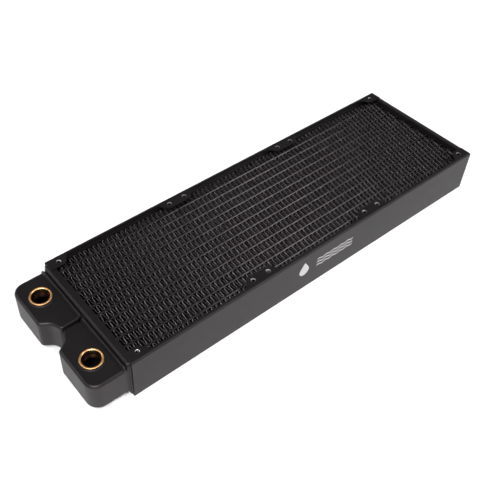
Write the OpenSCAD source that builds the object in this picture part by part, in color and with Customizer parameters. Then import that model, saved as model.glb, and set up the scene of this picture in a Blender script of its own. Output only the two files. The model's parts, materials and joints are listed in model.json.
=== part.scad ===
// Liquid cooling radiator for a row of fans: a soldered core of flat tubes and folded fins,
// held between two folded side rails, with a two-lobed port tank at one end and a slim
// return tank at the other. Origin at the centre of the underside, +X towards the return
// tank, +Z up, the ports open upwards. All sizes in millimetres.

/* [Fans] */
// Number of fans that fit along the radiator
fan_count = 3; // [2:1:4]
// Side of one fan, and the pitch of the fans along the rails
fan_size = 120; // [120:0.5:122]
// Distance between the screw holes of one fan
fan_hole_pitch = 105; // [104:0.5:106]
// Tapping bore of the fan screw holes
fan_screw_bore = 3.3; // [2.5:0.1:4]

/* [Side rails] */
// Length of the rails beyond the row of fans, both ends together
rail_extra = 3; // [2:1:8]
// Width over the rails
body_width = 118; // [118:1:124]
// Height over the rails' flanges
body_height = 40; // [40:1:60]
// Thickness of the rail sheet
rail_sheet = 1.2; // [0.8:0.1:1.4]
// Outer radius of the rails' bends
bend_radius = 1.6; // [1.4:0.1:2]
// Width of the narrow flange between the tabs
flange_width = 3; // [2.5:0.1:4]
// Depth of a screw tab, from the rail's outer face
tab_depth = 10.8; // [10:0.1:12]
// Length of a tab's root beyond its screw hole
tab_reach = 9.3; // [8.5:0.1:10]
// How far a tab narrows from its root to its edge, at each end
tab_slant = 5.6; // [4:0.1:6.5]

/* [Core] */
// Number of flat tubes
tube_count = 12; // [8:1:12]
// Distance between neighbouring tubes
tube_pitch = 8.8; // [8:0.1:8.8]
// Thickness of a flat tube
tube_thickness = 2; // [1.6:0.1:2.4]
// Depth of a flat tube, in the direction of the air
tube_depth = 28; // [24:1:28]
// Wall of a flat tube
tube_wall = 0.3; // [0.2:0.05:0.5]
// Depth of the fins, in the direction of the air
fin_depth = 26.8; // [20:0.2:27]
// Length of one full wave of a fin strip
fin_wave = 4.38; // [3.2:0.01:6]
// Thickness of the fin foil
fin_foil = 0.16; // [0.1:0.02:0.3]

/* [Tanks] */
// Length of the port tank beyond the rails
tank_length = 32; // [30:0.5:40]
// Height of the port tank
tank_height = 27; // [24:0.5:27]
// Half width of the port tank
tank_half_width = 56.8; // [56:0.1:57]
// Radius of the port tank's outer corners
tank_corner = 10; // [6:0.5:14]
// Sheet of the tanks and header plates
tank_sheet = 1; // [0.8:0.1:1]
// How far the return tank stands out of the rails
return_overhang = 2; // [1.5:0.1:4]

/* [Ports] */
// Distance between the two ports
port_pitch = 70; // [66:1:74]
// Distance of the ports from the end of the rails
port_inset = 17.4; // [16:0.1:19]
// Thread bore of a port: the minor diameter of a G1/4 thread
port_bore = 11.44; // [11:0.01:11.9]
// Outer diameter of a port's collar
port_collar = 17.5; // [16.5:0.1:19]
// Height of a collar above the tank
port_rise = 2; // [1:0.1:3]
// Overall height of a port bung
port_height = 8; // [7:0.5:12]

/* [Hidden] */
tube_names = [for (i = [1 : tube_count]) str("flat_tube_", i)];
fin_names = [for (i = [1 : tube_count + 1]) str("fin_strip_", i)];

// Segments of a rounded corner, and of a full circle
corner_steps = 8;
circle_steps = 64;
// How far a cutting solid runs past the face it opens
overcut = 1;

half_width = body_width / 2;
rail_length = fan_count * fan_size + rail_extra;
overall_length = tank_length + rail_length + return_overhang;
rail_start = tank_length - overall_length / 2;
rail_end = rail_start + rail_length;
rail_middle = (rail_start + rail_end) / 2;
middle_z = body_height / 2;

// Header plates: a shallow pan at each end of the core, its rim turned outwards
header_inset = 4.7;
return_header_inset = 2.4;
rim_overhang = 1.2;
header_half_width = half_width - rail_sheet;
header_half_height = body_height / 2 - rail_sheet;
header_corner = 3;

// Neck of the port tank: a lip through the header's rim, a narrow groove and a raised bead
lip_half_width = header_half_width - tank_sheet;
lip_half_height = header_half_height - tank_sheet;
lip_end = 2.3;
groove_end = 3.2;
groove_half_width = 56.3;
groove_half_height = 14.5;
bead_end = 5.2;
bead_half_width = 57;
bead_half_height = 16.4;
neck_corner = 2;
neck_step = 0.2;
neck_hollow_end = 4.4;
tank_half_height = tank_height / 2;

// Notch between the two lobes of the port tank, and the narrow crease behind it
notch_half_width = 14.3;
notch_waist = 9.6;
notch_shoulder = 7.7;
notch_depth = 11.5;
notch_corner = 4;
notch_bowl = 8;
crease_end = 6;
crease_half_width = 1;
crease_round = 0.95;
crease_mouth = 3;

tube_overlap = 1.5;
tube_start = rail_start + header_inset - tank_sheet - tube_overlap;
tube_end = rail_end - return_header_inset + tank_sheet + tube_overlap;
fin_height = tube_pitch - tube_thickness;
core_half_width = (tube_count * tube_pitch + fin_height) / 2;
fin_clearance = 0.5;
core_start = rail_start + header_inset;
core_end = rail_end - return_header_inset;
fin_room = core_end - core_start - 2 * fin_clearance;
fin_waves = floor(fin_room / fin_wave);
fin_flat = 1;

bung_spigot = 15.2;
bung_chamfer = 1;
bung_mouth = 13.4;

black_paint = [0.08, 0.08, 0.09];
core_black = [0.14, 0.14, 0.15];
bare_brass = [0.80, 0.62, 0.36];

function unit(v) = v / norm(v);
function turned(v, angle) = [
    v.x * cos(angle) - v.y * sin(angle),
    v.x * sin(angle) + v.y * cos(angle)
];

// The arc that rounds corner b, between its neighbours a and c; a corner is [x, y, radius]
function corner_arc(a, b, c) =
    let (
        at = [b.x, b.y],
        to_a = unit([a.x, a.y] - at),
        to_c = unit([c.x, c.y] - at),
        half_angle = acos(to_a * to_c) / 2,
        centre = at + unit(to_a + to_c) * b.z / sin(half_angle),
        first = at + to_a * b.z / tan(half_angle) - centre,
        last = at + to_c * b.z / tan(half_angle) - centre,
        sweep = atan2(first.x * last.y - first.y * last.x, first * last)
    )
    b.z == 0 ? [at] : [for (i = [0 : corner_steps]) centre + turned(first, sweep * i / corner_steps)];

// A closed outline through rounded corners
function rounded_outline(corners) =
    let (count = len(corners))
    [for (i = [0 : count - 1])
        each corner_arc(corners[(i + count - 1) % count], corners[i], corners[(i + 1) % count])];

// Normal on the right of the path where it turns at b, long enough to keep the offset even
function miter(a, b, c) =
    let (
        normal_in = turned(unit(b - a), -90),
        normal_out = turned(unit(c - b), -90),
        middle = unit(normal_in + normal_out)
    )
    middle / (middle * normal_in);

// A closed outline moved sideways by a distance
function moved_outline(points, distance) =
    let (count = len(points))
    [for (i = [0 : count - 1])
        points[i] + distance
            * miter(points[(i + count - 1) % count], points[i], points[(i + 1) % count])];

// The closed outline of a strip of even thickness that follows an open path
function ribbon(path, thickness) =
    let (
        last = len(path) - 1,
        before = 2 * path[0] - path[1],
        after = 2 * path[last] - path[last - 1],
        normals = [for (i = [0 : last])
            miter(i == 0 ? before : path[i - 1], path[i], i == last ? after : path[i + 1])]
    )
    concat(
        [for (i = [0 : last]) path[i] + normals[i] * thickness / 2],
        [for (i = [last : -1 : 0]) path[i] - normals[i] * thickness / 2]
    );

// Extrusion along X of a shape drawn in Y and Z
module along_x(x_low, x_high) {
    translate([x_low, 0, 0])
        rotate([90, 0, 90])
            linear_extrude(height = x_high - x_low)
                children();
}

// Rectangle with round corners, centred across the body at its middle height
module section(half_y, half_z, corner) {
    translate([0, middle_z])
        polygon(rounded_outline([
            [-half_y, -half_z, corner],
            [half_y, -half_z, corner],
            [half_y, half_z, corner],
            [-half_y, half_z, corner]
        ]));
}

module block(x_low, x_high, half_y, half_z, corner = neck_corner) {
    along_x(x_low, x_high) section(half_y, half_z, corner);
}

// Swaps the port end for the return end
module at_return_end() {
    translate([2 * rail_middle, 0, 0]) mirror([1, 0, 0]) children();
}

// ---- Port tank ----

// Half of the tank's outline, one lobe; u is the distance out from the rails
lobe = [
    [groove_end, tank_half_width, 0],
    [tank_length, tank_half_width, tank_corner],
    [tank_length, notch_half_width, notch_corner],
    [tank_length - notch_shoulder, notch_waist, notch_bowl],
    [tank_length - notch_depth, crease_half_width, crease_mouth],
    [crease_end, crease_half_width, crease_round]
];
lobe_last = len(lobe) - 1;
tank_corners = concat(
    [for (c = lobe) [rail_start - c[0], c[1], c[2]]],
    [for (i = [lobe_last : -1 : 0]) [rail_start - lobe[i][0], -lobe[i][1], lobe[i][2]]]
);
tank_outline = rounded_outline(tank_corners);

// The tank's outline, extruded; an inset draws it in for the hollow
module tank_body(inset) {
    half_height = tank_half_height - inset;
    translate([0, 0, middle_z - half_height])
        linear_extrude(height = 2 * half_height)
            polygon(moved_outline(tank_outline, -inset));
}

// Puts a child at one of the two ports; side is -1 at the front and 1 at the back
module at_port(side) {
    translate([rail_start - port_inset, side * port_pitch / 2, middle_z + tank_half_height])
        children();
}

module port_tank_solid() {
    block(rail_start - lip_end, rail_start + header_inset - tank_sheet, lip_half_width, lip_half_height);
    block(rail_start - groove_end, rail_start - lip_end, groove_half_width, groove_half_height);
    block(rail_start - bead_end, rail_start - groove_end, bead_half_width, bead_half_height);
    tank_body(0);
}

module port_tank_hollow() {
    block(
        rail_start - neck_step, rail_start + header_inset,
        lip_half_width - tank_sheet, lip_half_height - tank_sheet, tank_sheet
    );
    block(
        rail_start - neck_hollow_end, rail_start,
        groove_half_width - tank_sheet, groove_half_height - tank_sheet, tank_sheet
    );
    tank_body(tank_sheet);
}

module port_tank() {
    color(black_paint)
        difference() {
            port_tank_solid();
            port_tank_hollow();
            for (side = [-1, 1])
                at_port(side)
                    translate([0, 0, -tank_sheet - overcut])
                        cylinder(h = tank_sheet + 2 * overcut, d = bung_spigot, $fn = circle_steps);
        }
}

// Baffle that parts the inlet lobe from the outlet lobe inside the neck
module tank_divider() {
    header_face = rail_start + header_inset - tank_sheet;
    step_face = rail_start - neck_step;
    hollow_face = rail_start - neck_hollow_end;
    crease_face = rail_start - crease_end + tank_sheet;
    wide = lip_half_height - tank_sheet;
    narrow = groove_half_height - tank_sheet;
    low = tank_half_height - tank_sheet;
    color(black_paint)
        translate([0, tank_sheet / 2, middle_z])
            rotate([90, 0, 0])
                linear_extrude(height = tank_sheet)
                    polygon([
                        [crease_face, -low],
                        [hollow_face, -low],
                        [hollow_face, -narrow],
                        [step_face, -narrow],
                        [step_face, -wide],
                        [header_face, -wide],
                        [header_face, wide],
                        [step_face, wide],
                        [step_face, narrow],
                        [hollow_face, narrow],
                        [hollow_face, low],
                        [crease_face, low]
                    ]);
}

// Threaded brass bung: a collar above the tank and a spigot through its top
module port_bung(side) {
    below = port_height - port_rise;
    color(bare_brass)
        at_port(side)
            difference() {
                union() {
                    cylinder(h = port_rise, d = port_collar, $fn = circle_steps);
                    translate([0, 0, -below])
                        cylinder(h = below, d = bung_spigot, $fn = circle_steps);
                }
                translate([0, 0, -below - overcut])
                    cylinder(h = port_height + 2 * overcut, d = port_bore, $fn = circle_steps);
                translate([0, 0, port_rise - bung_chamfer])
                    cylinder(h = bung_chamfer, d1 = port_bore, d2 = bung_mouth, $fn = circle_steps);
            }
}

// ---- Return tank and header plates ----

module return_tank() {
    outer_end = rail_end + return_overhang;
    header_face = core_end + tank_sheet;
    color(black_paint)
        difference() {
            block(header_face, outer_end, lip_half_width, lip_half_height);
            block(
                header_face - overcut, outer_end - tank_sheet,
                lip_half_width - tank_sheet, lip_half_height - tank_sheet, tank_sheet
            );
        }
}

// Flat section with round ends, drawn in Y and Z
module tube_section(thickness, depth) {
    straight = depth - thickness;
    translate([0, middle_z]) {
        square([thickness, straight], center = true);
        for (end = [-1, 1])
            translate([0, end * straight / 2]) circle(d = thickness, $fn = circle_steps);
    }
}

function tube_y(number) = (number - (tube_count + 1) / 2) * tube_pitch;

module header_plate(inset) {
    color(black_paint)
        difference() {
            block(
                rail_start - rim_overhang, rail_start + inset,
                header_half_width, header_half_height, header_corner
            );
            block(
                rail_start - rim_overhang - overcut, rail_start + inset - tank_sheet,
                lip_half_width, lip_half_height
            );
            for (number = [1 : tube_count])
                translate([0, tube_y(number), 0])
                    along_x(rail_start, rail_start + inset + overcut)
                        tube_section(tube_thickness, tube_depth);
        }
}

// ---- Core ----

module flat_tube(number) {
    color(core_black)
        translate([0, tube_y(number), 0])
            along_x(tube_start, tube_end)
                difference() {
                    tube_section(tube_thickness, tube_depth);
                    tube_section(tube_thickness - 2 * tube_wall, tube_depth - 2 * tube_wall);
                }
}

// Folded foil between two tubes; every other strip is folded the other way up
module fin_strip(number) {
    reach = (fin_height - fin_foil) / 2 * (number % 2 == 0 ? 1 : -1);
    leg = fin_wave / 2 - fin_flat;
    path = [for (wave = [0 : fin_waves - 1]) each [
        [wave * fin_wave, -reach],
        [wave * fin_wave + fin_flat, -reach],
        [wave * fin_wave + fin_flat + leg, reach],
        [wave * fin_wave + 2 * fin_flat + leg, reach]
    ]];
    start = (core_start + core_end - fin_waves * fin_wave + leg) / 2;
    color(core_black)
        translate([start, tube_y(number - 0.5), middle_z - fin_depth / 2])
            linear_extrude(height = fin_depth)
                polygon(ribbon(path, fin_foil));
}

// Plate that closes the core beside the outermost fins
module core_side_plate(side) {
    thickness = header_half_width - core_half_width;
    color(core_black)
        translate([core_start, side * core_half_width, middle_z - tube_depth / 2])
            mirror([0, side < 0 ? 1 : 0, 0])
                cube([core_end - core_start, thickness, tube_depth]);
}

// ---- Side rails ----

function fan_centre(number) = rail_middle + (number - (fan_count - 1) / 2) * fan_size;
fan_hole_xs = [for (number = [0 : fan_count - 1]) for (side = [-1, 1])
    fan_centre(number) + side * fan_hole_pitch / 2];

// Root of the tabs: from the first hole of a group to its last, with the reach on each side
tab_spans = concat(
    [[rail_start, fan_hole_xs[0] + tab_reach]],
    [for (number = [1 : fan_count - 1])
        [fan_hole_xs[2 * number - 1] - tab_reach, fan_hole_xs[2 * number] + tab_reach]],
    [[fan_hole_xs[2 * fan_count - 1] - tab_reach, rail_end]]
);
tab_round = 3.5;
tab_root_round = 1.5;

// One tab of the back rail, in plan; a tab at the rail's end is square there
module tab(span) {
    edge_y = half_width - tab_depth;
    root_y = half_width - flange_width;
    at_start = span[0] == rail_start;
    at_end = span[1] == rail_end;
    low_x = span[0] + (at_start ? 0 : tab_slant);
    high_x = span[1] - (at_end ? 0 : tab_slant);
    low_root = span[0] - (at_start ? 0 : tab_root_round);
    high_root = span[1] + (at_end ? 0 : tab_root_round);
    back_y = half_width - bend_radius;
    polygon(concat(
        at_start ? [[low_root, back_y]] : [[low_root, back_y], [low_root, root_y]],
        rounded_tab_side(at_start, [low_root, root_y], [span[0], root_y], [low_x, edge_y]),
        corner_arc(
            [span[0], at_start ? back_y : root_y], [low_x, edge_y, at_start ? 0 : tab_round], [high_x, edge_y]
        ),
        corner_arc(
            [low_x, edge_y], [high_x, edge_y, at_end ? 0 : tab_round], [span[1], at_end ? back_y : root_y]
        ),
        rounded_tab_side(at_end, [high_x, edge_y], [span[1], root_y], [high_root, root_y]),
        at_end ? [[high_root, back_y]] : [[high_root, root_y], [high_root, back_y]]
    ));
}

// The small inside radius where a slanted side leaves the flange
function rounded_tab_side(square_end, a, b, c) =
    square_end ? [] : corner_arc(a, [b.x, b.y, tab_root_round], c);

// Folded channel section of the back rail, drawn in Y and Z
module rail_section() {
    inner_radius = bend_radius - rail_sheet;
    lip_y = half_width - flange_width;
    wall_y = half_width - rail_sheet;
    polygon(rounded_outline([
        [lip_y, 0, 0],
        [half_width, 0, bend_radius],
        [half_width, body_height, bend_radius],
        [lip_y, body_height, 0],
        [lip_y, body_height - rail_sheet, 0],
        [wall_y, body_height - rail_sheet, inner_radius],
        [wall_y, rail_sheet, inner_radius],
        [lip_y, rail_sheet, 0]
    ]));
}

module back_rail() {
    hole_y = fan_hole_pitch / 2;
    color(black_paint)
        difference() {
            union() {
                along_x(rail_start, rail_end) rail_section();
                for (z = [0, body_height - rail_sheet])
                    translate([0, 0, z])
                        linear_extrude(height = rail_sheet)
                            for (span = tab_spans) tab(span);
            }
            for (x = fan_hole_xs)
                translate([x, hole_y, -overcut])
                    cylinder(h = body_height + 2 * overcut, d = fan_screw_bore, $fn = circle_steps);
        }
}

port_tank();
tank_divider();
port_bung(-1);  // port_bung_front
port_bung(1);  // port_bung_back
header_plate(header_inset);  // header_plate_port_end
at_return_end() header_plate(return_header_inset);  // header_plate_return_end
return_tank();
mirror([0, 1, 0]) back_rail();  // side_rail_front
back_rail();  // side_rail_back
core_side_plate(-1);  // core_side_plate_front
core_side_plate(1);  // core_side_plate_back
for (number = [1 : tube_count])
    flat_tube(number);
for (number = [1 : tube_count + 1])
    fin_strip(number);
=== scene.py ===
"""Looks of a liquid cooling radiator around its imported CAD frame. Metres, +Z up.

The rails, tanks, header plates, ports, tubes and fins are built here as detailed meshes in
the places that the CAD nodes hold; the core side plates and the tank divider stay as they are.
"""

import json
import math
import random

import bmesh
import bpy
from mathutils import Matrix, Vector, noise
from mathutils.geometry import tessellate_polygon


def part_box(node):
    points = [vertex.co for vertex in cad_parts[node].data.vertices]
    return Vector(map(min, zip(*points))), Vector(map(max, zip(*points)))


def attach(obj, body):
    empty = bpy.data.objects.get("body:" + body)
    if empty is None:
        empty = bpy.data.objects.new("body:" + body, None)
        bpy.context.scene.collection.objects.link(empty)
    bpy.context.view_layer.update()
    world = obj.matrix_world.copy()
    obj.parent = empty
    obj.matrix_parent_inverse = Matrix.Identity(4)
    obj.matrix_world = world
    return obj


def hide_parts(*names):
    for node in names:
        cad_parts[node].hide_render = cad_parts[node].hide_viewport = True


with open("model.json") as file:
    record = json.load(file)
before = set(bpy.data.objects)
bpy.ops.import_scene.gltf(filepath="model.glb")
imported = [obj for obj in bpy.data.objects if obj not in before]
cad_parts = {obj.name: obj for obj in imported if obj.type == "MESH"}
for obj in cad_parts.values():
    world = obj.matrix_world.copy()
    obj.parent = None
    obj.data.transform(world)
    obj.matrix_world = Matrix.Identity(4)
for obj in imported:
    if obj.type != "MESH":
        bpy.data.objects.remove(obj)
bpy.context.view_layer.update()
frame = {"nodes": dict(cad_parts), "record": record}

MM = 0.001
SIDES = ("front", "back")


def numbered(start):
    """Names of the nodes that begin with start, by the number at their end."""
    return sorted((n for n in frame["nodes"] if n.startswith(start)), key=lambda n: int(n.split("_")[-1]))


TUBES = numbered("flat_tube_")
FINS = numbered("fin_strip_")
MOUNTS = {m["name"]: m for m in frame["record"]["mounts"]}

# Main places, all read from the frame
RAIL_LOW, RAIL_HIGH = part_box("side_rail_back")
RAIL_START, RAIL_END = RAIL_LOW.x, RAIL_HIGH.x
HALF_WIDTH = RAIL_HIGH.y
TOP = RAIL_HIGH.z
MIDDLE_Z = TOP / 2
TAB_EDGE = RAIL_LOW.y
TANK_LENGTH = RAIL_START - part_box("port_tank")[0].x
HEADER_LOW, HEADER_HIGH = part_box("header_plate_port_end")
HEADER_HALF_WIDTH = HEADER_HIGH.y
HEADER_HALF_HEIGHT = (HEADER_HIGH.z - HEADER_LOW.z) / 2
TANK_SHEET = 1.0 * MM


# ---- Outlines ----

def unit(v):
    return v.normalized()


def corner_arc(before, at, after, radius, steps):
    """Points of the arc that rounds corner at, or the corner itself where the radius is 0."""
    if radius <= 0:
        return [at.copy()]
    to_before = unit(before - at)
    to_after = unit(after - at)
    half_angle = math.acos(max(-1.0, min(1.0, to_before.dot(to_after)))) / 2
    centre = at + unit(to_before + to_after) * (radius / math.sin(half_angle))
    first = at + to_before * (radius / math.tan(half_angle)) - centre
    last = at + to_after * (radius / math.tan(half_angle)) - centre
    sweep = math.atan2(first.x * last.y - first.y * last.x, first.dot(last))
    points = []
    for i in range(steps + 1):
        angle = sweep * i / steps
        c, s = math.cos(angle), math.sin(angle)
        points.append(centre + Vector((first.x * c - first.y * s, first.x * s + first.y * c)))
    return points


def rounded(corners, steps=6):
    """Closed outline through corners given as (x, y, radius)."""
    at = [Vector(c[:2]) for c in corners]
    count = len(corners)
    outline = []
    for i in range(count):
        outline += corner_arc(at[i - 1], at[i], at[(i + 1) % count], corners[i][2], steps)
    return outline


def rectangle(half_x, half_y, radius, steps=6):
    return rounded([
        (-half_x, -half_y, radius),
        (half_x, -half_y, radius),
        (half_x, half_y, radius),
        (-half_x, half_y, radius),
    ], steps)


def stadium(half_x, half_y, steps=8):
    """Flat outline with round ends, long along its second axis."""
    points = []
    for end in (1, -1):
        for i in range(steps + 1):
            angle = math.pi * i / steps
            across = half_x * math.cos(angle)
            along = half_y - half_x + half_x * math.sin(angle)
            points.append(Vector((end * across, end * along)))
    return points


def circle(centre, radius, steps):
    angles = [2 * math.pi * i / steps for i in range(steps)]
    return [Vector((centre[0] + radius * math.cos(a), centre[1] + radius * math.sin(a))) for a in angles]


def offset(points, distance):
    """Closed counter-clockwise outline, moved outwards by a distance."""
    sharpest = 0.3
    count = len(points)
    moved = []
    for i in range(count):
        way_in = unit(points[i] - points[i - 1])
        way_out = unit(points[(i + 1) % count] - points[i])
        normal_in = Vector((way_in.y, -way_in.x))
        normal_out = Vector((way_out.y, -way_out.x))
        middle = unit(normal_in + normal_out)
        moved.append(points[i] + middle * (distance / max(sharpest, middle.dot(normal_in))))
    return moved


def edge_round(radius, steps):
    """Quarter of a rounded edge as (inset from the side, depth below the face)."""
    return [
        (radius * (1 - math.sin(math.pi / 2 * i / steps)), radius * (1 - math.cos(math.pi / 2 * i / steps)))
        for i in range(steps + 1)
    ]


# ---- Mesh building ----

class Shell:
    """Collects vertices and faces for one closed mesh."""

    def __init__(self):
        self.points = []
        self.faces = []
        self.materials = []

    def ring(self, points):
        first = len(self.points)
        self.points += [Vector(p) for p in points]
        return list(range(first, len(self.points)))

    def face(self, corners, material=0):
        self.faces.append(list(corners))
        self.materials.append(material)

    def bridge(self, low, high, material=0, sides=None):
        """Joins two rings; sides names the material of single sides that differ from the rest."""
        count = len(low)
        for i in range(count):
            j = (i + 1) % count
            self.face((low[i], low[j], high[j], high[i]), (sides or {}).get(i, material))

    def rings(self, rings, material=0, sides=None):
        for low, high in zip(rings, rings[1:]):
            self.bridge(low, high, material, sides)

    def sheet(self, loops, flat, material=0):
        """Fills a flat outline with holes; loops index the points and flat gives their 2-D places."""
        order = [i for loop in loops for i in loop]
        for corners in tessellate_polygon([[Vector((*p, 0)) for p in loop] for loop in flat]):
            self.face([order[i] for i in corners], material)

    def mesh(self, name):
        mesh = bpy.data.meshes.new(name)
        mesh.from_pydata(self.points, [], self.faces)
        mesh.polygons.foreach_set("material_index", self.materials)
        mesh.update()
        return mesh


def capped(name, sections):
    """Closed mesh through sections, each a ring of points, with a cap at either end."""
    shell = Shell()
    rings = [shell.ring(points) for points in sections]
    shell.rings(rings)
    shell.face(rings[0])
    shell.face(rings[-1])
    return shell.mesh(name)


SHARP_ANGLE = 38


def tidy_mesh(mesh, sharp_angle=SHARP_ANGLE):
    """Joins doubled points, turns the normals outwards and marks the sharp edges."""
    work = bmesh.new()
    work.from_mesh(mesh)
    bmesh.ops.remove_doubles(work, verts=work.verts, dist=1e-7)
    bmesh.ops.recalc_face_normals(work, faces=work.faces)
    work.to_mesh(mesh)
    work.free()
    mesh.polygons.foreach_set("use_smooth", [True] * len(mesh.polygons))
    mesh.set_sharp_from_angle(angle=math.radians(sharp_angle))


def make_piece(name, mesh, materials, slot, *nodes, sharp_angle=SHARP_ANGLE, weighted=True):
    """Turns a mesh into a piece that rides on the root body and stands for CAD nodes."""
    tidy_mesh(mesh, sharp_angle)
    for material in materials:
        mesh.materials.append(material)
    piece = bpy.data.objects.new(name, mesh)
    bpy.context.scene.collection.objects.link(piece)
    if weighted:
        even = piece.modifiers.new("even_shading", "WEIGHTED_NORMAL")
        even.keep_sharp = True
    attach(piece, "root")
    if nodes:
        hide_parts(*nodes)
    return piece


def mirrored_y(mesh):
    for vertex in mesh.vertices:
        vertex.co.y = -vertex.co.y
    mesh.flip_normals()
    return mesh


# ---- Materials ----

def new_material(name):
    material = bpy.data.materials.new(name)
    material.use_nodes = True
    nodes = material.node_tree.nodes
    shader = nodes["Principled BSDF"]
    coords = nodes.new("ShaderNodeTexCoord")
    return material, nodes, material.node_tree.links, shader, coords


def noise_node(nodes, links, coords, scale, detail=4.0, roughness=0.55):
    texture = nodes.new("ShaderNodeTexNoise")
    texture.inputs["Scale"].default_value = scale
    texture.inputs["Detail"].default_value = detail
    texture.inputs["Roughness"].default_value = roughness
    links.new(coords.outputs["Object"], texture.inputs["Vector"])
    return texture


def ramp_node(nodes, links, source, stops):
    ramp = nodes.new("ShaderNodeValToRGB")
    elements = ramp.color_ramp.elements
    elements[0].position, elements[0].color = stops[0]
    elements[1].position, elements[1].color = stops[-1]
    for position, colour in stops[1:-1]:
        element = elements.new(position)
        element.color = colour
    links.new(source, ramp.inputs["Fac"])
    return ramp


def range_node(nodes, links, source, low, high):
    spread = nodes.new("ShaderNodeMapRange")
    spread.inputs["To Min"].default_value = low
    spread.inputs["To Max"].default_value = high
    links.new(source, spread.inputs["Value"])
    return spread


def bump_node(nodes, links, height, shader, strength, distance):
    bump = nodes.new("ShaderNodeBump")
    bump.inputs["Strength"].default_value = strength
    bump.inputs["Distance"].default_value = distance
    links.new(height, bump.inputs["Height"])
    links.new(bump.outputs["Normal"], shader.inputs["Normal"])
    return bump


def grey(value, warm=0.0):
    """A grey that leans towards pink by warm."""
    return (value * (1 + warm), value, value * (1 + warm / 2), 1.0)


PAINT_WARMTH = 0.06
PAINT_SHEEN = (1.0, 0.88, 0.93, 1.0)


def paint_material(
    name, dark, light, rough_low, rough_high, shine, grain=2600.0, bump=0.18, cloud_scale=38.0,
):
    """Black paint: cloudy from dark to light, fine orange peel, and smears that differ in sheen."""
    material, nodes, links, shader, coords = new_material(name)
    cloud = noise_node(nodes, links, coords, cloud_scale)
    colour = ramp_node(nodes, links, cloud.outputs["Fac"], [
        (0.3, grey(dark, PAINT_WARMTH)), (0.72, grey(light, PAINT_WARMTH)),
    ])
    links.new(colour.outputs["Color"], shader.inputs["Base Color"])
    smear = noise_node(nodes, links, coords, 120.0, 6.0, 0.6)
    rough = range_node(nodes, links, smear.outputs["Fac"], rough_low, rough_high)
    links.new(rough.outputs["Result"], shader.inputs["Roughness"])
    peel = noise_node(nodes, links, coords, grain, 3.0)
    bump_node(nodes, links, peel.outputs["Fac"], shader, bump, 0.00004)
    shader.inputs["Specular IOR Level"].default_value = shine
    shader.inputs["Specular Tint"].default_value = PAINT_SHEEN
    return material


def brass_material(name, stops):
    """Turned brass with a patchy colour and fine turning marks about its axis."""
    material, nodes, links, shader, coords = new_material(name)
    patina = noise_node(nodes, links, coords, 260.0, 5.0, 0.65)
    colour = ramp_node(nodes, links, patina.outputs["Fac"], stops)
    links.new(colour.outputs["Color"], shader.inputs["Base Color"])
    shader.inputs["Metallic"].default_value = 1.0
    wear = noise_node(nodes, links, coords, 900.0, 4.0)
    rough = range_node(nodes, links, wear.outputs["Fac"], 0.36, 0.56)
    links.new(rough.outputs["Result"], shader.inputs["Roughness"])
    stretch = nodes.new("ShaderNodeMapping")
    stretch.inputs["Scale"].default_value = (400.0, 400.0, 9000.0)
    links.new(coords.outputs["Object"], stretch.inputs["Vector"])
    marks = nodes.new("ShaderNodeTexNoise")
    marks.inputs["Scale"].default_value = 1.0
    links.new(stretch.outputs["Vector"], marks.inputs["Vector"])
    bump_node(nodes, links, marks.outputs["Fac"], shader, 0.25, 0.00003)
    return material


def bare_steel_material():
    """Bright cut steel of the tapped holes."""
    material, nodes, links, shader, coords = new_material("cut_steel")
    grain = noise_node(nodes, links, coords, 1500.0, 4.0)
    colour = ramp_node(nodes, links, grain.outputs["Fac"], [(0.3, grey(0.28)), (0.7, grey(0.46))])
    links.new(colour.outputs["Color"], shader.inputs["Base Color"])
    shader.inputs["Metallic"].default_value = 1.0
    rough = range_node(nodes, links, grain.outputs["Fac"], 0.26, 0.40)
    links.new(rough.outputs["Result"], shader.inputs["Roughness"])
    bump_node(nodes, links, grain.outputs["Fac"], shader, 0.2, 0.00003)
    return material


def print_material():
    """White pad print with a slightly uneven coat."""
    material, nodes, links, shader, coords = new_material("white_print")
    patch = noise_node(nodes, links, coords, 700.0, 5.0)
    colour = ramp_node(nodes, links, patch.outputs["Fac"], [
        (0.3, grey(0.42, 0.03)), (0.7, grey(0.52, 0.03)),
    ])
    links.new(colour.outputs["Color"], shader.inputs["Base Color"])
    rough = range_node(nodes, links, patch.outputs["Fac"], 0.45, 0.6)
    links.new(rough.outputs["Result"], shader.inputs["Roughness"])
    bump_node(nodes, links, patch.outputs["Fac"], shader, 0.15, 0.00003)
    return material


def floor_material():
    """Plain pale studio floor."""
    material, nodes, links, shader, coords = new_material("studio_floor")
    cloud = noise_node(nodes, links, coords, 3.0)
    colour = ramp_node(nodes, links, cloud.outputs["Fac"], [(0.3, grey(0.86)), (0.7, grey(0.88))])
    links.new(colour.outputs["Color"], shader.inputs["Base Color"])
    shader.inputs["Roughness"].default_value = 0.9
    shader.inputs["Specular IOR Level"].default_value = 0.1
    return material


# ---- Side rails ----

RAIL_SHEET = 1.2 * MM
BEND_RADIUS = 1.6 * MM
FLANGE_WIDTH = 3.0 * MM
TAB_REACH = 9.3 * MM
TAB_SLANT = 5.6 * MM
TAB_ROUND = 3.5 * MM
TAB_ROOT_ROUND = 1.5 * MM
RAIL_EDGE = 0.22 * MM
BEND_STEPS = 6
BEND_LENGTH = BEND_RADIUS * math.pi / 2
WALL_LENGTH = TOP - 2 * BEND_RADIUS
TAPPED_PITCH = 0.7 * MM
TAPPED_DEPTH = 0.36 * MM
TAPPED_LEAD = 0.22 * MM
TAPPED_EASE = 0.05 * MM
TAPPED_RUN_OUT = 0.2 * MM
TAPPED_STEPS = 28
EASE_STEPS = 2


def fan_hole_xs():
    """Places of the fan screw holes along a rail, from the record's bolt patterns."""
    found = []
    for name, mount in sorted(MOUNTS.items()):
        if name.startswith("fan_") and name.endswith("_top"):
            half = mount["dims"]["spacing_x_mm"] / 2 * MM
            found += [mount["pos_m"][0] - half, mount["pos_m"][0] + half]
    return sorted(found)


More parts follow.
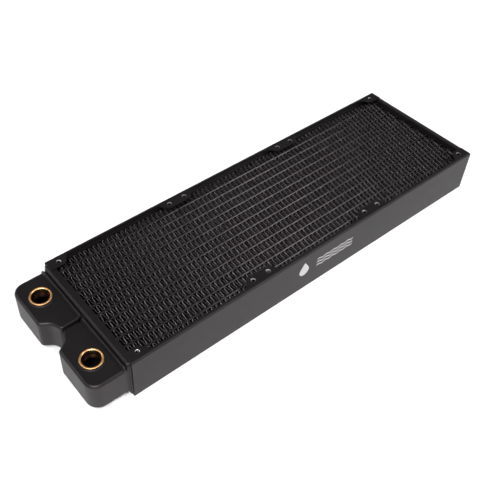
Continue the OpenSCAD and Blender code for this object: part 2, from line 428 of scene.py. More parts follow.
HOLE_XS = fan_hole_xs()
HOLE_Y = MOUNTS["fan_1_top"]["dims"]["spacing_y_mm"] / 2 * MM
HOLE_RADIUS = MOUNTS["fan_1_top"]["dims"]["hole_r_mm"] * MM


def tab_spans():
    """Where each tab's root starts and ends along a rail."""
    pairs = zip(HOLE_XS[1:-1:2], HOLE_XS[2:-1:2])
    middles = [(low - TAB_REACH, high + TAB_REACH) for low, high in pairs]
    return [(RAIL_START, HOLE_XS[0] + TAB_REACH), *middles, (HOLE_XS[-1] - TAB_REACH, RAIL_END)]


def fold(x, along, depth):
    """Place on the folded back rail: along runs down its section from the top bend, depth into its sheet."""
    centre_y = HALF_WIDTH - BEND_RADIUS
    radius = BEND_RADIUS - depth
    if along <= 0:
        return Vector((x, centre_y + along, TOP - depth))
    if along < BEND_LENGTH:
        angle = along / BEND_RADIUS
        return Vector((x, centre_y + radius * math.sin(angle), TOP - BEND_RADIUS + radius * math.cos(angle)))
    along -= BEND_LENGTH
    if along <= WALL_LENGTH:
        return Vector((x, HALF_WIDTH - depth, TOP - BEND_RADIUS - along))
    along -= WALL_LENGTH
    if along < BEND_LENGTH:
        angle = along / BEND_RADIUS
        return Vector((x, centre_y + radius * math.cos(angle), BEND_RADIUS - radius * math.sin(angle)))
    along -= BEND_LENGTH
    return Vector((x, centre_y - along, depth))


def flange_edge():
    """Free edge of a flange from the rail's start to its end, as (x, distance in from the bend)."""
    root = FLANGE_WIDTH - BEND_RADIUS
    depth = HALF_WIDTH - BEND_RADIUS - TAB_EDGE
    corners = []
    for low, high in tab_spans():
        if low > RAIL_START:
            corners += [(low, root, TAB_ROOT_ROUND), (low + TAB_SLANT, depth, TAB_ROUND)]
        else:
            corners += [(low, depth, 0)]
        if high < RAIL_END:
            corners += [(high - TAB_SLANT, depth, TAB_ROUND), (high, root, TAB_ROOT_ROUND)]
        else:
            corners += [(high, depth, 0)]
    at = [Vector(c[:2]) for c in corners]
    points = []
    for i, corner in enumerate(corners):
        radius = corner[2]
        if radius == 0:
            points.append(at[i])
        else:
            points += corner_arc(at[i - 1], at[i], at[i + 1], radius, 6)
    return points


def fold_lines():
    """Distances along the section where the sheet's bands meet."""
    first = [BEND_LENGTH * i / BEND_STEPS for i in range(BEND_STEPS + 1)]
    second = [BEND_LENGTH + WALL_LENGTH + d for d in first]
    return first + second


def rail_sheet_mesh(name):
    """Back rail: a flat blank with tabs and tapped holes, its edges eased, folded into a channel."""
    lines = fold_lines()
    whole = lines[-1]
    edge = flange_edge()
    top_edge = [Vector((p.x, -p.y)) for p in edge]
    bottom_edge = [Vector((p.x, whole + p.y)) for p in reversed(edge)]
    end_side = [Vector((RAIL_END, d)) for d in lines]
    start_side = [Vector((RAIL_START, d)) for d in reversed(lines)]
    blank = top_edge + end_side + bottom_edge + start_side
    count_edge = len(edge)
    count_lines = len(lines)
    inset = offset(blank, -RAIL_EDGE)
    shell = Shell()
    rings = []
    eased = edge_round(RAIL_EDGE, EASE_STEPS)
    for share, depth in eased + [(share, RAIL_SHEET - depth) for share, depth in reversed(eased)]:
        at = offset(blank, -share) if share > 1e-9 else blank
        rings.append(shell.ring([fold(p.x, p.y, depth) for p in at]))
    shell.rings(rings)
    holes = {"top": [], "bottom": []}
    for x in HOLE_XS:
        reach = HALF_WIDTH - BEND_RADIUS - HOLE_Y
        for face, along in (("top", -reach), ("bottom", whole + reach)):
            holes[face].append(tapped_hole(shell, x, along))
    ends = {
        "top": list(range(count_edge)) + [count_edge, len(blank) - 1],
        "bottom": list(range(count_edge + count_lines, 2 * count_edge + count_lines))
        + [2 * count_edge + count_lines, count_edge + count_lines - 1],
    }
    for face, members in ends.items():
        for ring, side in ((rings[0], 0), (rings[-1], 1)):
            loops = [[ring[i] for i in members]] + [hole[side][0] for hole in holes[face]]
            flat = [[inset[i] for i in members]] + [hole[side][1] for hole in holes[face]]
            shell.sheet(loops, flat)
    for k in range(count_lines - 1):
        right = [count_edge + k, count_edge + k + 1]
        left = [len(blank) - 1 - k, len(blank) - 2 - k]
        for ring in (rings[0], rings[-1]):
            shell.face((ring[left[0]], ring[right[0]], ring[right[1]], ring[left[1]]))
    return shell.mesh(name)


def tapped_hole(shell, x, along):
    """Bare wall of one screw hole, ringed like a thread; gives its rim on both faces of the sheet."""
    mouth = HOLE_RADIUS + TAPPED_DEPTH
    profile = [(mouth, 0.0), (HOLE_RADIUS + TAPPED_EASE, TAPPED_LEAD)]
    depth = TAPPED_LEAD
    while depth + TAPPED_PITCH / 2 < RAIL_SHEET - TAPPED_RUN_OUT:
        profile.append((HOLE_RADIUS + TAPPED_DEPTH, depth + TAPPED_PITCH / 4))
        profile.append((HOLE_RADIUS, depth + TAPPED_PITCH / 2))
        depth += TAPPED_PITCH / 2
    profile.append((mouth, RAIL_SHEET))
    rings = []
    for radius, depth in profile:
        rings.append(shell.ring([fold(p.x, p.y, depth) for p in circle((x, along), radius, TAPPED_STEPS)]))
    shell.rings(rings, material=1)
    flat = circle((x, along), mouth, TAPPED_STEPS)
    return (rings[0], flat), (rings[-1], flat)


def make_rail(side, paint, steel):
    name = "side_rail_" + side
    mesh = rail_sheet_mesh(name + "_folded")
    if side == "front":
        mirrored_y(mesh)
    return make_piece(name + "_folded", mesh, [paint, steel], "black_paint", name)


# ---- Port tank ----

ROLL_RADIUS = 2.3 * MM
ROLL_STEPS = 7
LOBE_START = 3.0 * MM
LOBE_HALF_WIDTH = 56.8 * MM
LOBE_ROUND = 10 * MM
LOBE_STEPS = 8
TANK_HALF_HEIGHT = 13.5 * MM
NOTCH_HALF_WIDTH = 14.3 * MM
NOTCH_WAIST = 9.6 * MM
NOTCH_SHOULDER = 7.7 * MM
NOTCH_DEPTH = 11.5 * MM
MOUTH_ROUND = 4 * MM
WAIST_ROUND = 8 * MM
BOWL_ROUND = 3 * MM
CREASE_HALF_WIDTH = 1 * MM
CREASE_END = 6.0 * MM
CREASE_ROUND = 0.95 * MM
# Shares of the sides' inset by which the notch and the crease are drawn in
NOTCH_SHARE = 0.75
CREASE_SHARE = 0.5
# Shares of those insets that the corners between slanted sides and the inner rounds follow
WAIST_OUT_SHARE = 0.75
WAIST_SIDE_SHARE = 0.85
BOWL_ROUND_SHARE = 0.8
CREASE_ROUND_SHARE = 0.9
BUNG_HOLE = 7.6 * MM
BUNG_HOLE_START = 10 * MM
BUNG_HOLE_STEPS = 64
NECK_ROUND = 3.8 * MM
NECK_HOLLOW_ROUND = 1.2 * MM
# Half sizes of the tank's neck in millimetres, outwards from the rails: (out, half width, half height)
NECK = [
    (-3.7, 56.8, 17.8), (0.6, 56.8, 17.8), (1.2, 56.8, 17.75), (1.7, 56.7, 17.45), (2.05, 56.6, 16.9),
    (2.25, 56.45, 16.1), (2.35, 56.3, 15.0), (2.45, 56.3, 14.5), (3.15, 56.3, 14.5), (3.2, 56.35, 15.2),
    (3.35, 56.5, 15.9), (3.6, 56.75, 16.3), (3.9, 56.95, 16.4), (4.3, 57.0, 16.25), (4.7, 57.0, 15.8),
    (5.0, 56.95, 15.1), (5.3, 56.9, 14.3), (5.7, 56.75, 13.4), (6.2, 56.0, 12.2),
]
# Hollow inside the neck, in the same terms
NECK_HOLLOW = [
    (-4.7, 55.8, 16.8), (0.2, 55.8, 16.8), (0.2, 54.5, 13.5), (3.6, 54.5, 13.5), (4.4, 55.2, 13.2),
    (6.0, 55.2, 12.0),
]
# The crease through the bead, outwards from the rails: (out, half height of the surface, depth)
CREASE_CUT = [
    (1.9, 17.2, 0.1), (2.2, 16.2, 0.9), (2.6, 15.0, 1.2), (3.1, 15.4, 2.2), (3.6, 16.3, 4.0),
    (4.3, 16.2, 5.3), (5.2, 14.6, 5.6), (6.0, 13.7, 5.6), (7.0, 13.5, 5.6), (8.2, 13.5, 5.2),
]
# Its section: (half width, share of the depth), then above the surface (half width, depth)
CREASE_SHAPE = [(0.55, 1.0), (0.95, 0.72), (1.25, 0.34), (1.75, 0.12)]
CREASE_BRIM = [(2.5, -0.02), (2.7, -1.5)]


def lobe_corners(inset, wall=0.0):
    """Tank outline drawn in by its rolled edges, less so at the notch and crease; (x, y, radius) each."""
    side = LOBE_HALF_WIDTH - inset - wall
    notch = inset * NOTCH_SHARE + wall
    crease = inset * CREASE_SHARE + wall
    end_out = TANK_LENGTH - inset - wall
    waist_out = TANK_LENGTH - NOTCH_SHOULDER - notch * WAIST_OUT_SHARE
    bowl_out = TANK_LENGTH - NOTCH_DEPTH - notch
    half = [
        (LOBE_START, side, 0),
        (end_out, side, LOBE_ROUND - inset - wall),
        (end_out, NOTCH_HALF_WIDTH + notch, MOUTH_ROUND - notch),
        (waist_out, NOTCH_WAIST + notch * WAIST_SIDE_SHARE, WAIST_ROUND + notch),
        (bowl_out, CREASE_HALF_WIDTH + crease, BOWL_ROUND - crease * BOWL_ROUND_SHARE),
        (CREASE_END - crease, CREASE_HALF_WIDTH + crease, CREASE_ROUND + crease * CREASE_ROUND_SHARE),
    ]
    other_half = [(out, -y, radius) for out, y, radius in reversed(half)]
    return [(RAIL_START - out, y, radius) for out, y, radius in half + other_half]


def tank_body_mesh(name, wall):
    """The two-lobed drawn body with rolled edges; wall draws it in for the hollow."""
    half = TANK_HALF_HEIGHT - wall
    profile = [(inset, half - depth) for inset, depth in edge_round(ROLL_RADIUS - wall, ROLL_STEPS)]
    profile += [(inset, -height) for inset, height in reversed(profile)]
    return capped(name, [
        [(p.x, p.y, MIDDLE_Z + height) for p in rounded(lobe_corners(inset, wall), LOBE_STEPS)]
        for inset, height in profile
    ])


def neck_solid(name, sizes, corner):
    """Solid through rectangles with rounded corners, their sizes as in NECK."""
    return capped(name, [
        [(RAIL_START - out * MM, p.x, MIDDLE_Z + p.y) for p in rectangle(half_y * MM, half_z * MM, corner)]
        for out, half_y, half_z in sizes
    ])


def crease_cut_mesh(name, way):
    """Cutter that carries the crease through the bead, over the tank or, with way -1, under it."""
    sections = []
    for out, surface, depth in CREASE_CUT:
        half = [(y, depth * share) for y, share in CREASE_SHAPE] + CREASE_BRIM
        section = [(y, d) for y, d in reversed(half)] + [(-y, d) for y, d in half]
        sections.append([
            (RAIL_START - out * MM, y * MM, MIDDLE_Z + way * (surface - d) * MM) for y, d in section
        ])
    return capped(name, sections)


def bung_hole_mesh(name, centre):
    outline = circle(centre, BUNG_HOLE, BUNG_HOLE_STEPS)
    return capped(name, [[(p.x, p.y, z) for p in outline] for z in (MIDDLE_Z + BUNG_HOLE_START, TOP)])


def scratch_object(mesh):
    tidy_mesh(mesh)
    scratch = bpy.data.objects.new(mesh.name, mesh)
    bpy.context.scene.collection.objects.link(scratch)
    return scratch


def combined(base, steps):
    """Mesh of base after the solid operation and mesh of each step have been applied to it."""
    target = scratch_object(base)
    others = []
    for operation, mesh in steps:
        other = scratch_object(mesh)
        others.append(other)
        solid = target.modifiers.new(operation.lower(), "BOOLEAN")
        solid.operation = operation
        solid.solver = "EXACT"
        solid.object = other
    bpy.context.view_layer.update()
    graph = bpy.context.evaluated_depsgraph_get()
    result = bpy.data.meshes.new_from_object(target.evaluated_get(graph))
    for scratch in (target, *others):
        bpy.data.objects.remove(scratch)
    return result


def port_centres():
    return {side: MOUNTS["port_" + side]["pos_m"][:2] for side in SIDES}


def make_port_tank(paint):
    steps = [
        ("UNION", neck_solid("neck", NECK, NECK_ROUND)),
        ("DIFFERENCE", crease_cut_mesh("crease_over", 1)),
        ("DIFFERENCE", crease_cut_mesh("crease_under", -1)),
        ("DIFFERENCE", tank_body_mesh("hollow", TANK_SHEET)),
        ("DIFFERENCE", neck_solid("neck_hollow", NECK_HOLLOW, NECK_HOLLOW_ROUND)),
    ]
    for side, centre in port_centres().items():
        steps.append(("DIFFERENCE", bung_hole_mesh("hole_" + side, centre)))
    mesh = combined(tank_body_mesh("port_tank_drawn", 0.0), steps)
    mesh.name = "port_tank_drawn"
    return make_piece("port_tank_drawn", mesh, [paint], "black_paint", "port_tank", sharp_angle=42)


# ---- Port bungs ----

THREAD_PITCH = 1.337 * MM
THREAD_MINOR = MOUNTS["port_front"]["dims"]["r_mm"] * MM
THREAD_MAJOR = 6.58 * MM
THREAD_FULLNESS = 0.8
THREAD_ROWS = 46
SPIGOT_EASE = 0.5 * MM
COLLAR_RADIUS = 8.75 * MM
COLLAR_SUNK = 0.05 * MM
COLLAR_SKIRT = 0.3 * MM
# The collar's crowned top face, inwards from its outer edge, in millimetres: (across, depth)
CROWN = [
    (0.0, 0.45), (0.08, 0.26), (0.25, 0.1), (0.5, 0.02), (0.75, 0.0), (1.0, 0.05), (1.3, 0.2), (1.55, 0.45),
]
FILLET = 0.9 * MM
FILLET_STEPS = 5
BUNG_MOUTH = 6.85 * MM
BUNG_MOUTH_DEPTH = 0.8 * MM
CHAMFER_DEPTH = 1.3 * MM
CHAMFER_EASE = 0.1 * MM
BUNG_STEPS = 72


def thread_radius(height, angle, low, high):
    """Radius of the helical port thread, running out smoothly at both ends."""
    phase = (height - low) / THREAD_PITCH - angle / (2 * math.pi)
    crest = 0.5 - 0.5 * math.cos(2 * math.pi * phase)
    fade = min(1.0, max(0.0, (height - low) / THREAD_PITCH), max(0.0, (high - height) / THREAD_PITCH))
    return THREAD_MINOR + (THREAD_MAJOR - THREAD_MINOR) * crest ** THREAD_FULLNESS * fade


def make_port_bung(side, brass, paint, bore_shade_brass):
    """Turned bung: painted collar and fillet outside, bare top face, and a chamfer and thread in near-black
    brass as painted shade of the bore.
    """
    low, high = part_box("port_bung_" + side)
    x, y = port_centres()[side]
    tank_top = MIDDLE_Z + TANK_HALF_HEIGHT
    shell = Shell()

    def lathe_ring(height, radius):
        return shell.ring([(x + p.x, y + p.y, height) for p in circle((0, 0), radius, BUNG_STEPS)])

    def thread_ring(height):
        ring = []
        for i in range(BUNG_STEPS):
            angle = 2 * math.pi * i / BUNG_STEPS
            radius = thread_radius(height, angle, low.z, thread_top)
            ring.append((x + radius * math.cos(angle), y + radius * math.sin(angle), height))
        return shell.ring(ring)

    outside = [
        (low.z, BUNG_HOLE - SPIGOT_EASE), (low.z + SPIGOT_EASE, BUNG_HOLE),
        (tank_top - COLLAR_SUNK, BUNG_HOLE), (tank_top - COLLAR_SUNK, COLLAR_RADIUS + FILLET + COLLAR_SKIRT),
        *[(tank_top + depth, COLLAR_RADIUS + inset) for inset, depth in edge_round(FILLET, FILLET_STEPS)],
        (high.z - CROWN[0][1] * MM, COLLAR_RADIUS),
    ]
    face = [(high.z - drop * MM, COLLAR_RADIUS - across * MM) for across, drop in CROWN]
    thread_top = high.z - CHAMFER_DEPTH
    chamfer = [
        face[-1], (high.z - BUNG_MOUTH_DEPTH, BUNG_MOUTH), (thread_top, THREAD_MINOR + CHAMFER_EASE),
    ]
    shell.rings([lathe_ring(z, r) for z, r in outside], material=1)
    shell.rings([lathe_ring(z, r) for z, r in face], material=0)
    # The chamfer and the threaded bore below take the near-black brass, painted shade inside the hollow
    shell.rings([lathe_ring(z, r) for z, r in chamfer], material=2)
    depths = [(thread_top - low.z) * row / THREAD_ROWS for row in range(THREAD_ROWS + 1)]
    bore = [thread_ring(thread_top - depth) for depth in depths]
    shell.bridge(lathe_ring(*chamfer[-1]), bore[0], material=2)
    shell.rings(bore, material=2)
    shell.bridge(bore[-1], lathe_ring(*outside[0]), material=2)
    node = "port_bung_" + side
    mesh = shell.mesh(node + "_turned")
    return make_piece(mesh.name, mesh, [brass, paint, bore_shade_brass], "bare_brass", node, sharp_angle=44)


# ---- Header plates and return tank ----

HEADER_CORNER = 3.0 * MM
TIGHTEST_CORNER = 0.4 * MM
SLOT_EASE = 0.25 * MM
PAN_STEPS = 4
PAN_ROUND = 0.5 * MM
# Edge of a header plate's rim, from outside to inside, in millimetres: (back from the end, inset)
RIM_EDGE = [(0.75, 0.0), (0.3, 0.12), (0.06, 0.42), (0.0, 0.75), (0.0, 0.95), (0.1, 1.0)]
RETURN_CORNER = 2.4 * MM
RETURN_ROLL = 0.9 * MM
RETURN_EASE = 0.15 * MM
# Shallow panel pressed into the return tank's end, in millimetres: (depth, inset)
RETURN_PANEL = [(0.0, 2.2), (0.12, 2.6), (0.12, 3.4)]
RETURN_HOLLOW_EASE = (0.5 * MM, 0.6 * MM)


def tube_ys():
    return [(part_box(n)[0].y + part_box(n)[1].y) / 2 for n in TUBES]


TUBE_HALF_THICK = (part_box(TUBES[0])[1].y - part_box(TUBES[0])[0].y) / 2
TUBE_HALF_DEPTH = (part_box(TUBES[0])[1].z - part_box(TUBES[0])[0].z) / 2


def header_mesh(name, node, outwards):
    """Shallow pan at one end of the core; outwards is -1 where its rim points along -X."""
    low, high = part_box(node)
    face_x = high.x if outwards < 0 else low.x
    rim = high.x - low.x
    sheet = TANK_SHEET
    shell = Shell()

    def outline_ring(outline, depth):
        """Ring of an outline at a depth, together with the outline."""
        return shell.ring([(face_x + outwards * depth, p.x, MIDDLE_Z + p.y) for p in outline]), outline

    def pan_ring(depth, inset):
        corner = max(TIGHTEST_CORNER, HEADER_CORNER - inset)
        return outline_ring(rectangle(HEADER_HALF_WIDTH - inset, HEADER_HALF_HEIGHT - inset, corner), depth)

    profile = [(depth, inset) for inset, depth in edge_round(sheet, PAN_STEPS)]
    profile += [(rim - back * MM, inset * MM) for back, inset in RIM_EDGE]
    profile += [(sheet + PAN_ROUND, sheet), (sheet, sheet + PAN_ROUND)]
    made = [pan_ring(depth, inset) for depth, inset in profile]
    shell.rings([ring for ring, _ in made])
    fronts, backs = [], []
    for y in tube_ys():
        rings = []
        for depth, ease in ((0.0, SLOT_EASE), (SLOT_EASE, 0.0), (sheet - SLOT_EASE, 0.0), (sheet, SLOT_EASE)):
            slot = stadium(TUBE_HALF_THICK + ease, TUBE_HALF_DEPTH + ease)
            rings.append(outline_ring([p + Vector((y, 0)) for p in slot], depth))
        shell.rings([ring for ring, _ in rings])
        fronts.append(rings[0])
        backs.append(rings[-1])
    for border, slots in ((made[0], fronts), (made[-1], backs)):
        shell.sheet([border[0]] + [s[0] for s in slots], [border[1]] + [s[1] for s in slots])
    return shell.mesh(name)


def make_header(end, outwards, paint):
    node = "header_plate_%s_end" % end
    mesh = header_mesh(node + "_drawn", node, outwards)
    return make_piece(mesh.name, mesh, [paint], "black_paint", node)


def make_return_tank(paint):
    """Drawn tray that closes the far end: an eased outer face and a hollow behind it."""
    low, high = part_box("return_tank")
    half_y, half_z = high.y, (high.z - low.z) / 2
    shell = Shell()

    def tray_ring(x, inset):
        outline = rectangle(half_y - inset, half_z - inset, max(TIGHTEST_CORNER, RETURN_CORNER - inset))
        return shell.ring([(x, p.x, MIDDLE_Z + p.y) for p in outline])

    roll = edge_round(RETURN_ROLL, PAN_STEPS)
    outside = [(low.x, RETURN_EASE), (low.x + RETURN_EASE, 0.0)]
    outside += [(high.x - depth, inset) for inset, depth in reversed(roll)]
    panel = [(high.x - depth * MM, inset * MM) for depth, inset in RETURN_PANEL]
    back, aside = RETURN_HOLLOW_EASE
    inside = [(high.x - TANK_SHEET, TANK_SHEET + aside), (high.x - TANK_SHEET - back, TANK_SHEET)]
    inside += [(low.x, TANK_SHEET)]
    skin = [tray_ring(x, inset) for x, inset in outside + panel]
    shell.rings(skin)
    shell.face(skin[-1])
    hollow = [tray_ring(x, inset) for x, inset in inside]
    shell.rings(hollow)
    shell.face(hollow[0])
    shell.bridge(hollow[-1], skin[0])
    mesh = shell.mesh("return_tank_drawn")
    return make_piece(mesh.name, mesh, [paint], "black_paint", "return_tank")


# ---- Core ----

TUBE_RING_STEP = 5.5 * MM
TUBE_WALL = 0.3 * MM
# How far a tube drifts up and down and swells, and how fast the noise behind each runs: (along it, per tube)
TUBE_DRIFT = 0.10 * MM
DRIFT_PACE = (45, 7.3)
TUBE_SWELL = 0.05 * MM
SWELL_PACE = (90, 3.1)
SWELL_LAYER = 5.0
NOSE_STEPS = 8
# Solder fillet on a tube: its height, its reach from the header plate, and its rings in millimetres
SOLDER_HEIGHT = 0.42 * MM
SOLDER_REACH = 1.3 * MM
SOLDER_BACK = 0.2 * MM
SOLDER_RINGS = (-0.1, 0.15, 0.5, 1.3)
SOLDER_MIDDLE = 0.6 * MM
SOLDER_ROOM = 1.5 * MM
FOIL = 0.30 * MM
# Shares of the foil's thickness: the bevels at its edges, and the flat between them
FOIL_BEVEL = 0.3
FOIL_FLAT = 0.1
# How far a foil's upper edge rises and dips, and how fast the noise behind it runs along X and Y
FOIL_DIP = 0.12 * MM
DIP_PACE = (160, 300)
WAVE_PITCH = 4.38 * MM
# Largest new shift of a fold in millimetres, and the share that it keeps of the fold before
WAVE_LEAN = 0.06
LEAN_KEPT = 0.6
CREST_SHARE = 0.215
CREST_UNEVEN = (0.92, 1.08)
CREST_HEIGHT = 0.9
CREST_STEPS = 6
FIN_SEED = 4100
# Sides of a foil's section that take the light second paint, a painted highlight along its upper edge: the
# top and the bevel on one side
HIGHLIGHT_SIDES = (5, 6)


def header_faces():
    """Where each header plate's face meets the core, with the way in which the core lies."""
    return ((HEADER_HIGH.x, 1), (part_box("header_plate_return_end")[0].x, -1))


def solder_height(x):
    """How far the solder fillets stand out from a tube at x."""
    height = 0.0
    for face, way in header_faces():
        away = (x - face) * way
        if -SOLDER_BACK < away < SOLDER_REACH:
            height = SOLDER_HEIGHT * (1 - min(1.0, max(0.0, away) / SOLDER_REACH)) ** 2
    return height


def tube_stations(start, end):
    """Places of a tube's rings: even steps, and closer ones at the solder fillets."""
    count = int((end - start) / TUBE_RING_STEP)
    stations = [start + (end - start) * i / count for i in range(count + 1)]
    for face, way in header_faces():
        stations = [s for s in stations if abs(s - (face + way * SOLDER_MIDDLE)) > SOLDER_ROOM]
        stations += [face + way * ring * MM for ring in SOLDER_RINGS]
    return sorted(stations)


def make_tube(number, paint, nose):
    """Flat tube with uneven walls, a lighter paint on the top of its upper nose as a painted highlight line,
    and solder fillets at its ends.
    """
    node = TUBES[number]
    low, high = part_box(node)
    y = (low.y + high.y) / 2
    shell = Shell()
    outer, inner = [], []
    for x in tube_stations(low.x, high.x):
        drift = noise.noise(Vector((x * DRIFT_PACE[0], number * DRIFT_PACE[1], 0.0))) * TUBE_DRIFT
        swell = noise.noise(Vector((x * SWELL_PACE[0], number * SWELL_PACE[1], SWELL_LAYER))) * TUBE_SWELL
        for rings, shrink in ((outer, -solder_height(x)), (inner, TUBE_WALL)):
            half_depth = TUBE_HALF_DEPTH - max(shrink, 0.0) + swell * 0.5
            outline = stadium(TUBE_HALF_THICK - shrink, half_depth, NOSE_STEPS)
            rings.append(shell.ring([(x, y + p.x, MIDDLE_Z + p.y + drift) for p in outline]))
    # The two faces at the top of the upper nose take the lighter second paint, a painted highlight line
    shell.rings(outer, sides={NOSE_STEPS // 2 - 1: 1, NOSE_STEPS // 2: 1})
    shell.rings(inner)
    shell.bridge(outer[0], inner[0])
    shell.bridge(outer[-1], inner[-1])
    mesh = shell.mesh(node + "_drawn")
    return make_piece(mesh.name, mesh, [paint, nose], "core_paint", node, weighted=False)


def fin_path(low, high, flip, seed):
    """Centre line of a folded foil: legs between rounded crests, which differ a little in width and place."""
    chance = random.Random(seed)
    half = (high.y - low.y) / 2 - FOIL / 2
    middle = (high.y + low.y) / 2
    waves = round((high.x - low.x) / WAVE_PITCH)
    pitch = (high.x - low.x) / waves
    crest = pitch * CREST_SHARE
    points = []
    lean = 0.0
    for fold_number in range(2 * waves):
        side = (1 if fold_number % 2 else -1) * flip
        lean = LEAN_KEPT * lean + chance.uniform(-WAVE_LEAN, WAVE_LEAN) * MM
        centre_x = low.x + pitch * (fold_number + 0.5) / 2 + lean
        radius = crest * chance.uniform(*CREST_UNEVEN)
        rise = crest * CREST_HEIGHT
        for step in range(CREST_STEPS + 1):
            angle = math.pi * step / CREST_STEPS
            points.append(Vector((
                centre_x - radius * math.cos(angle),
                middle + side * (half - rise + rise * math.sin(angle)),
            )))
    return points


def make_fin(number, paint, edge):
    """Corrugated fin beside a tube, with a light second paint on part of its upper edge as a painted
    highlight.
    """
    node = FINS[number]
    low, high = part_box(node)
    flip = 1 if number % 2 else -1
    path = fin_path(low, high, flip, FIN_SEED + number)
    last = len(path) - 1
    shell = Shell()
    rings = []
    bevel = FOIL * FOIL_BEVEL
    for i, p in enumerate(path):
        way = unit(path[min(i + 1, last)] - path[max(i - 1, 0)])
        side = Vector((-way.y, way.x)) * (FOIL / 2)
        ridge = side * FOIL_FLAT
        top = high.z + noise.noise(Vector((p.x * DIP_PACE[0], p.y * DIP_PACE[1], number))) * FOIL_DIP
        section = [
            (side, low.z + bevel), (ridge, low.z), (-ridge, low.z), (-side, low.z + bevel),
            (-side, top - bevel), (-ridge, top), (ridge, top), (side, top - bevel),
        ]
        rings.append(shell.ring([(p.x + s.x, p.y + s.y, z) for s, z in section]))
    # The upper edge's top and one bevel take the light grey paint, a painted highlight for the foils' glints
    shell.rings(rings, sides={side: 1 for side in HIGHLIGHT_SIDES})
    shell.face(rings[0])
    shell.face(rings[-1])
    mesh = shell.mesh(node + "_folded")
    return make_piece(mesh.name, mesh, [paint, edge], "core_paint", node, weighted=False, sharp_angle=24)


# ---- Printed mark ----

PRINT_THICK = 0.05 * MM
PRINT_SUNK = 0.02 * MM
# The drop's middle and radius, and the waves' start, spacing, length, height and stroke, on the front wall
DROP_MIDDLE = Vector((-4 * MM, 22.5 * MM))
DROP_RADIUS = 5.0 * MM
DROP_STEPS = 40
# How the drop's top narrows and rises, and how sharply
DROP_PINCH = 0.55
DROP_STRETCH = 0.75
DROP_POWER = 3
WAVES_START = Vector((10 * MM, 19.5 * MM))
WAVES_SPACING = 3.4 * MM
WAVES_LENGTH = 40 * MM
WAVE_HEIGHT = 0.7 * MM
WAVE_STROKE = 1.1 * MM
WAVE_ROWS = 3
WAVE_COUNT = 5
WAVE_STEPS = 16


def flat_mark(shell, outline):
    """Thin raised print on the front rail's wall, from an outline in X and Z."""
    wall = -HALF_WIDTH
    back = shell.ring([(p.x, wall + PRINT_SUNK, p.y) for p in outline])
    face = shell.ring([(p.x, wall - PRINT_THICK, p.y) for p in outline])
    shell.bridge(back, face)
    shell.face(back)
    shell.face(face)


def drop_outline(centre, size):
    """A water drop: a round belly that draws up to a point."""
    points = []
    for i in range(DROP_STEPS):
        angle = 2 * math.pi * i / DROP_STEPS
        draw = max(0.0, math.cos(angle)) ** DROP_POWER
        points.append(Vector((
            centre.x + size * math.sin(angle) * (1 - DROP_PINCH * draw),
            centre.y + size * (math.cos(angle) + DROP_STRETCH * draw),
        )))
    return points[::-1]


def wave_outline(start, length, height, thick, waves):
    """A wavy stroke of even height."""
    steps = WAVE_STEPS * waves
    line = [
        Vector((start.x + length * i / steps, start.y + height * math.sin(2 * math.pi * waves * i / steps)))
        for i in range(steps + 1)
    ]
    upper = [p + Vector((0, thick / 2)) for p in line]
    lower = [p - Vector((0, thick / 2)) for p in line]
    return lower + upper[::-1]


def make_mark(material):
    """Generic flow mark: a drop, then three wavy lines."""
    shell = Shell()
    flat_mark(shell, drop_outline(DROP_MIDDLE, DROP_RADIUS))
    for row in range(WAVE_ROWS):
        start = WAVES_START + Vector((0, WAVES_SPACING * row))
        flat_mark(shell, wave_outline(start, WAVES_LENGTH, WAVE_HEIGHT, WAVE_STROKE, WAVE_COUNT))
    mesh = shell.mesh("flow_mark")
    return make_piece("flow_mark", mesh, [material], None, weighted=False)


# ---- Studio ----

FLOOR_SIZE = 12
# Brightness of the world, and the heights between which it fades
HORIZON_GLOW = 0.85
HORIZON_TOP = 0.14
CEILING_GLOW = 0.05
CEILING_START = 0.30
LIGHTS_AIM = Vector((0.0, 0.0, 0.02))
# Each light's name, place, size and power
LIGHTS = [
    ("front_softbox", (-2.20, -2.20, 4.40), (2.0, 2.0), 360),
    ("right_softbox", (2.40, -2.00, 3.40), (1.0, 0.8), 85),
    ("left_softbox", (-1.75, 1.93, 2.35), (0.9, 0.9), 26),
]


def make_floor(material):
    bpy.ops.mesh.primitive_plane_add(size=FLOOR_SIZE, location=(0, 0, 0))
    floor = bpy.context.object
    floor.name = "studio_floor"
    floor.data.materials.append(material)


def make_light(name, place, size, power):
    data = bpy.data.lights.new(name, "AREA")
    data.shape = "RECTANGLE"
    data.size, data.size_y = size
    data.energy = power
    light = bpy.data.objects.new(name, data)
    light.location = place
    light.rotation_euler = (LIGHTS_AIM - Vector(place)).to_track_quat("-Z", "Y").to_euler()
    bpy.context.scene.collection.objects.link(light)


def make_camera():
    data = bpy.data.cameras.new("camera")
    data.lens = 52.98
    data.sensor_width = 36.0
    data.shift_x = 0.1123
    data.shift_y = -0.0289
    camera = bpy.data.objects.new("camera", data)
    place = Vector((-0.3069, -0.3084, 0.4559))
    aim = Vector((-0.0591, 0.0112, 0.0400))
    camera.location = place
    camera.rotation_euler = (aim - place).to_track_quat("-Z", "Y").to_euler()
    bpy.context.scene.collection.objects.link(camera)
    bpy.context.scene.camera = camera


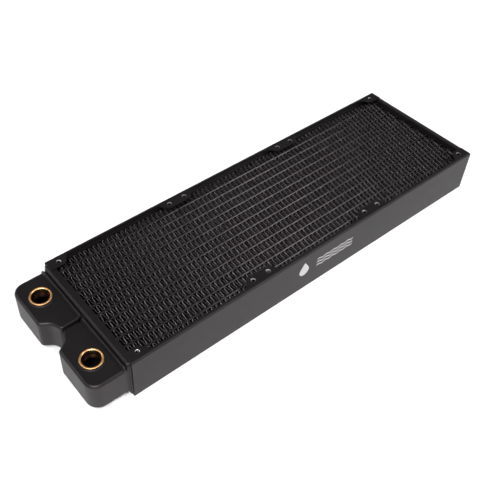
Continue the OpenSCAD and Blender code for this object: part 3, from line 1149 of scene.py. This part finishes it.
def make_world():
    """Pale glow along the horizon that fades to a dim ceiling."""
    world = bpy.data.worlds.new("studio")
    world.use_nodes = True
    nodes, links = world.node_tree.nodes, world.node_tree.links
    coords = nodes.new("ShaderNodeTexCoord")
    split = nodes.new("ShaderNodeSeparateXYZ")
    links.new(coords.outputs["Generated"], split.inputs["Vector"])
    glow = ramp_node(nodes, links, split.outputs["Z"], [
        (0.0, grey(HORIZON_GLOW)), (HORIZON_TOP, grey(HORIZON_GLOW)),
        (CEILING_START, grey(CEILING_GLOW)), (1.0, grey(CEILING_GLOW)),
    ])
    links.new(glow.outputs["Color"], nodes["Background"].inputs["Color"])
    bpy.context.scene.world = world


def make_studio():
    make_world()
    make_floor(floor_material())
    for light in LIGHTS:
        make_light(*light)
    bpy.context.scene.view_settings.view_transform = "Standard"


# ---- Assembly ----

def make_object():
    paint = paint_material("black_paint", 0.0040, 0.0065, 0.40, 0.50, shine=0.37)
    core = paint_material("core_paint", 0.0030, 0.0050, 0.20, 0.28, shine=0.6, grain=1500.0, bump=0.08)
    fin = paint_material("fin_paint", 0.0015, 0.0030, 0.42, 0.55, shine=0.15)
    # Light grey, shiny paint for the foils' upper edges: a painted highlight
    fin_highlight_paint = paint_material("fin_edge_painted_highlight", 0.008, 0.52, 0.22, 0.34, shine=0.9, cloud_scale=420.0)
    # Lighter paint for the tops of the tube noses: a painted highlight line
    nose = paint_material("tube_nose_painted_highlight", 0.004, 0.014, 0.30, 0.40, shine=0.18, cloud_scale=300.0)
    steel = bare_steel_material()
    brass = brass_material("bare_brass", [
        (0.30, (0.42, 0.185, 0.070, 1.0)), (0.45, (0.84, 0.46, 0.190, 1.0)), (0.75, (0.95, 0.60, 0.29, 1.0)),
    ])
    # Near-black brass for the chamfer and the threaded bore: painted shade inside the hollow
    bore_shade_brass = brass_material("bore_painted_shade_brass", [
        (0.35, (0.004, 0.0024, 0.0016, 1.0)), (0.70, (0.016, 0.008, 0.005, 1.0)),
    ])
    for side in SIDES:
        make_rail(side, paint, steel)
        make_port_bung(side, brass, paint, bore_shade_brass)
    make_port_tank(paint)
    make_header("port", -1, paint)
    make_header("return", 1, paint)
    make_return_tank(paint)
    for number in range(len(TUBES)):
        make_tube(number, core, nose)
    for number in range(len(FINS)):
        make_fin(number, fin, fin_highlight_paint)
    make_mark(print_material())
    for name, node in frame["nodes"].items():
        if not node.hide_render:
            node.data.materials.clear()
            node.data.materials.append(core if "side_plate" in name else paint)


make_camera()
make_object()
make_studio()
